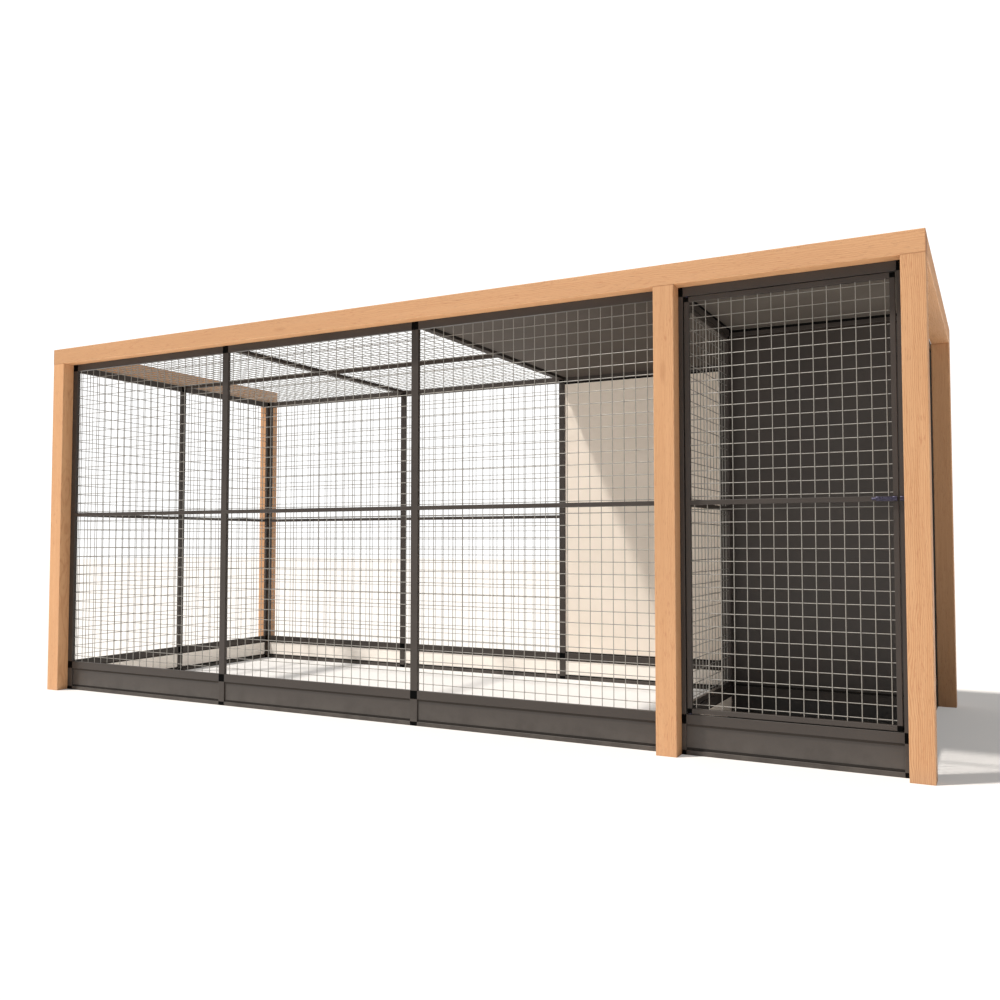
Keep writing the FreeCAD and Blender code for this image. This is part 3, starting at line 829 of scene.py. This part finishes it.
def bevel(piece, width, segments, chosen):
    """Rounds the edges that chosen picks by their two ends."""
    deselect_all()
    piece.select_set(True)
    bpy.context.view_layer.objects.active = piece
    bpy.ops.object.mode_set(mode="EDIT")
    bpy.ops.mesh.select_mode(type="EDGE")
    bpy.ops.mesh.select_all(action="DESELECT")
    bpy.ops.object.mode_set(mode="OBJECT")
    points = [corner.co.copy() for corner in piece.data.vertices]
    for edge in piece.data.edges:
        edge.select = chosen(*[points[index] for index in edge.vertices])
    bpy.ops.object.mode_set(mode="EDIT")
    bpy.ops.mesh.bevel(offset=width, segments=segments, affect="EDGES")
    bpy.ops.object.mode_set(mode="OBJECT")


def runs_along(axis):
    """Picks the edges along an axis."""
    return lambda first, second: abs((second - first).normalized().dot(AXES[axis])) > PARALLEL


def level_with(axis, place):
    """Picks the edges that lie in a plane across an axis."""
    return lambda *ends: all(abs(point.dot(AXES[axis]) - place) < TINY for point in ends)


def crosses(axis):
    """Picks the edges that lie square to an axis."""
    return lambda first, second: abs((second - first).dot(AXES[axis])) < TINY


def soften(piece, width):
    """Breaks every sharp edge a little."""
    easing = piece.modifiers.new("soften", "BEVEL")
    easing.width = width
    easing.segments = 2
    easing.limit_method = "ANGLE"
    easing.angle_limit = SHARP_ANGLE
    bpy.context.view_layer.objects.active = piece
    bpy.ops.object.modifier_apply(modifier=easing.name)


def drill(piece, tool):
    """Cuts the shape of a tool out of a piece."""
    cut = piece.modifiers.new("drill", "BOOLEAN")
    cut.operation = "DIFFERENCE"
    cut.object = tool
    bpy.context.view_layer.objects.active = piece
    bpy.ops.object.modifier_apply(modifier=cut.name)
    bpy.data.objects.remove(tool)


def saddle(start, end, depth, half_height, back, bore):
    """A rounded guide around the bolt, which runs along X. The saddle faces -Y."""
    piece = block((start, -depth, -half_height), (end, back, half_height))
    long_edge = runs_along("X")
    outer_face = level_with("Y", -depth)
    bevel(piece, GUIDE_CORNER, 5, lambda *ends: long_edge(*ends) and outer_face(*ends))
    tool_start = (start - GUIDE_LENGTH, -BOLT_AXIS, 0.0)
    drill(piece, round_bar("X", tool_start, end - start + 2 * GUIDE_LENGTH, bore))
    soften(piece, GUIDE_EASE)
    return piece


def plate_screws(length, half_height):
    """Four slotted screw heads on the plate, between its guides."""
    inset = GUIDE_LENGTH + PLATE_SCREW_FROM_GUIDE
    level = half_height - PLATE_SCREW_FROM_EDGE
    top = -PLATE_THICKNESS - PLATE_SCREW_HEIGHT
    sunk_height = PLATE_SCREW_HEIGHT + PLATE_THICKNESS / 4
    head = round_bar("Y", (inset, top, -level), sunk_height, PLATE_SCREW_RADIUS, 16)
    bevel(head, PLATE_SCREW_ROUND, 2, level_with("Y", top))
    slot_half = PLATE_SCREW_RADIUS / 6
    slot_reach = 2 * PLATE_SCREW_RADIUS
    drill(head, block((inset - slot_reach, top - PLATE_SCREW_HEIGHT, -level - slot_half),
                      (inset + slot_reach, top + SCREW_SLOT_DEPTH, -level + slot_half)))
    array(head, AXES["X"] * (length - 2 * inset), 2)
    array(head, AXES["Z"] * 2 * level, 2)
    return head


def bolt_body(length, depth, half_height):
    """The plate of a slide bolt, with a guide at each end."""
    plate = block((0.0, -PLATE_THICKNESS, -half_height), (length, 0.0, half_height))
    bevel(plate, PLATE_CORNER, 4, runs_along("Y"))
    soften(plate, PLATE_EASE)
    bore = BOLT_RADIUS + BOLT_PLAY
    guides = [saddle(start, start + GUIDE_LENGTH, depth, half_height, -PLATE_THICKNESS / 2, bore)
              for start in (0.0, length - GUIDE_LENGTH)]
    return join([plate] + guides + [plate_screws(length, half_height)], "bolt_body")


def bolt_rod(tail, tip, reach):
    """The sliding bolt, with a knob that stands out from it."""
    rod = round_bar("X", (tail, -BOLT_AXIS, 0.0), tip - tail, BOLT_RADIUS, 32)
    bevel(rod, BOLT_TIP_ROUND, 3, crosses("X"))
    neck = round_bar("Y", (KNOB_PLACE, -reach + KNOB_CAP_HEIGHT / 2, 0.0),
                     reach - KNOB_CAP_HEIGHT / 2 - BOLT_AXIS, KNOB_NECK_RADIUS)
    cap = round_bar("Y", (KNOB_PLACE, -reach, 0.0), KNOB_CAP_HEIGHT, KNOB_CAP_RADIUS, 32)
    bevel(cap, KNOB_CAP_ROUND, 4, crosses("Y"))
    return join([rod, neck, cap], "bolt_rod")


def coach_screw(tip, head_top):
    """A hexagon-headed screw with a flange, on the Z axis."""
    seat = head_top - COACH_HEAD_HEIGHT
    shank = round_bar("Z", (0.0, 0.0, tip), seat - tip + COACH_FLANGE_HEIGHT / 2, COACH_SHANK_RADIUS, 16)
    bevel(shank, COACH_TIP_TAPER, 2, level_with("Z", tip))
    flange = round_bar("Z", (0.0, 0.0, seat), COACH_FLANGE_HEIGHT, COACH_FLANGE_RADIUS, 32)
    bevel(flange, COACH_FLANGE_ROUND, 3, level_with("Z", seat + COACH_FLANGE_HEIGHT))
    hexagon = round_bar("Z", (0.0, 0.0, seat + COACH_FLANGE_HEIGHT / 2),
                        COACH_HEAD_HEIGHT - COACH_FLANGE_HEIGHT / 2, COACH_HEX_RADIUS, 6)
    bevel(hexagon, COACH_HEX_ROUND, 3, level_with("Z", head_top))
    soften(hexagon, COACH_HEX_EASE)
    return join([shank, flange, hexagon], "coach_screw")


def set_on_wall(piece, start, throw, outward):
    """Turns a piece made along X and facing -Y to its wall, and moves it to its start."""
    turn = Matrix((throw, -outward, throw.cross(-outward))).transposed()
    piece.matrix_world = Matrix.Translation(start) @ turn.to_4x4()
    settle(piece)


# Each door, its bolt's body, the way the bolt is thrown, and the way the bolt faces
BOLTS = (
    ("front_door", "front_bolt", AXES["X"], -AXES["Y"]),
    ("inner_door", "inner_bolt", -AXES["Y"], AXES["X"]),
)
keeper_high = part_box("bolt_keepers")[1]
keepers = []
for door, bolt, throw, outward in BOLTS:
    low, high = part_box(door + "_bolt_body")
    corner = Vector((low.x, high.y, (low.z + high.z) / 2))
    length = abs((high - low).dot(throw))
    depth = abs((high - low).dot(outward))
    half_height = (high.z - low.z) / 2
    body = bolt_body(length, depth, half_height)
    set_on_wall(body, corner, throw, outward)
    body.name = door + "_slide_bolt_body"
    finish_piece(body, zinc_plate, door, "zinc", door + "_bolt_body")
    ends = [(point - corner).dot(throw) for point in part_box(door + "_bolt")]
    reach = max((point - corner).dot(outward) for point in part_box(door + "_bolt"))
    rod = bolt_rod(min(ends), max(ends), reach)
    set_on_wall(rod, corner, throw, outward)
    rod.name = door + "_slide_bolt"
    finish_piece(rod, zinc_plate, bolt, "zinc", door + "_bolt")
    keeper = saddle(0.0, GUIDE_LENGTH, depth, half_height, 0.0, BOLT_RADIUS + KEEPER_PLAY)
    along_start = keeper_high.x - GUIDE_LENGTH if outward.x == 0.0 else keeper_high.y
    foot = corner - throw * corner.dot(throw) + Vector([abs(part) for part in throw]) * along_start
    set_on_wall(keeper, foot, throw, outward)
    keepers.append(keeper)
keeper_pair = join(keepers, "slide_bolt_keepers")
settle(keeper_pair)
finish_piece(keeper_pair, zinc_plate, "frame", "zinc", "bolt_keepers")

screw_low, screw_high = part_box("beam_screws")
first_screw = coach_screw(screw_low.z, screw_high.z)
screws = []
for post in TIMBERS:
    if post.startswith("post"):
        deselect_all()
        first_screw.select_set(True)
        bpy.context.view_layer.objects.active = first_screw
        bpy.ops.object.duplicate(linked=False)
        screw = bpy.context.object
        screw.location = (middle_of(post).x, middle_of(post).y, 0.0)
        screws.append(screw)
bpy.data.objects.remove(first_screw)
coach_screws = join(screws, "coach_screws")
settle(coach_screws)
finish_piece(coach_screws, zinc_plate, "frame", "zinc", "beam_screws")


# Floor, light and camera


def make_floor():
    """A plain pale floor. The camera sees it white where the sun falls, and keeps the shadows."""
    deselect_all()
    bpy.ops.mesh.primitive_plane_add(size=2 * FLOOR_HALF)
    floor = current("floor")
    material = bpy.data.materials.new("floor_pale")
    material.use_nodes = True
    tree = material.node_tree
    tree.nodes.remove(tree.nodes["Principled BSDF"])
    matt = add_node(tree, "ShaderNodeBsdfDiffuse", {"Color": FLOOR_SEEN})
    haze = add_node(tree, "ShaderNodeEmission", {"Color": HAZE_COLOUR, "Strength": HAZE_STRENGTH})
    seen = add_node(tree, "ShaderNodeAddShader", {0: matt.outputs[0], 1: haze.outputs[0]})
    lighting = add_node(tree, "ShaderNodeBsdfDiffuse", {"Color": FLOOR_LIGHTING})
    path = tree.nodes.new("ShaderNodeLightPath")
    mixed = add_node(tree, "ShaderNodeMixShader",
                     {0: path.outputs["Is Camera Ray"], 1: lighting.outputs[0], 2: seen.outputs[0]})
    tree.links.new(mixed.outputs[0], tree.nodes["Material Output"].inputs["Surface"])
    floor.data.materials.append(material)


def make_sky():
    """Even daylight. The camera sees plain white behind the run."""
    world = bpy.data.worlds.new("daylight")
    bpy.context.scene.world = world
    world.use_nodes = True
    tree = world.node_tree
    background = tree.nodes["Background"]
    path = tree.nodes.new("ShaderNodeLightPath")
    seen = maths(tree, "MAXIMUM", path.outputs["Is Camera Ray"], path.outputs["Is Transmission Ray"])
    background.inputs["Color"].default_value = SKY_COLOUR
    tree.links.new(blend_values(tree, seen, SKY_STRENGTH, SKY_SEEN), background.inputs["Strength"])


def make_sun():
    deselect_all()
    turn = Vector(SUN_TRAVEL).to_track_quat("-Z", "Y").to_euler()
    bpy.ops.object.light_add(type="SUN", location=SUN_PLACE, rotation=turn)
    sun = bpy.context.object.data
    sun.energy = SUN_STRENGTH
    sun.angle = SUN_ANGLE
    sun.color = SUN_COLOUR


def make_camera():
    deselect_all()
    turn = (math.pi / 2 + CAMERA_PITCH, 0.0, CAMERA_YAW)
    bpy.ops.object.camera_add(location=CAMERA_PLACE, rotation=turn)
    camera = bpy.context.object
    camera.data.lens = CAMERA_LENS
    camera.data.sensor_width = CAMERA_SENSOR
    bpy.context.scene.camera = camera


make_floor()
make_sky()
make_sun()
make_camera()
bpy.context.scene.view_settings.view_transform = "Standard"
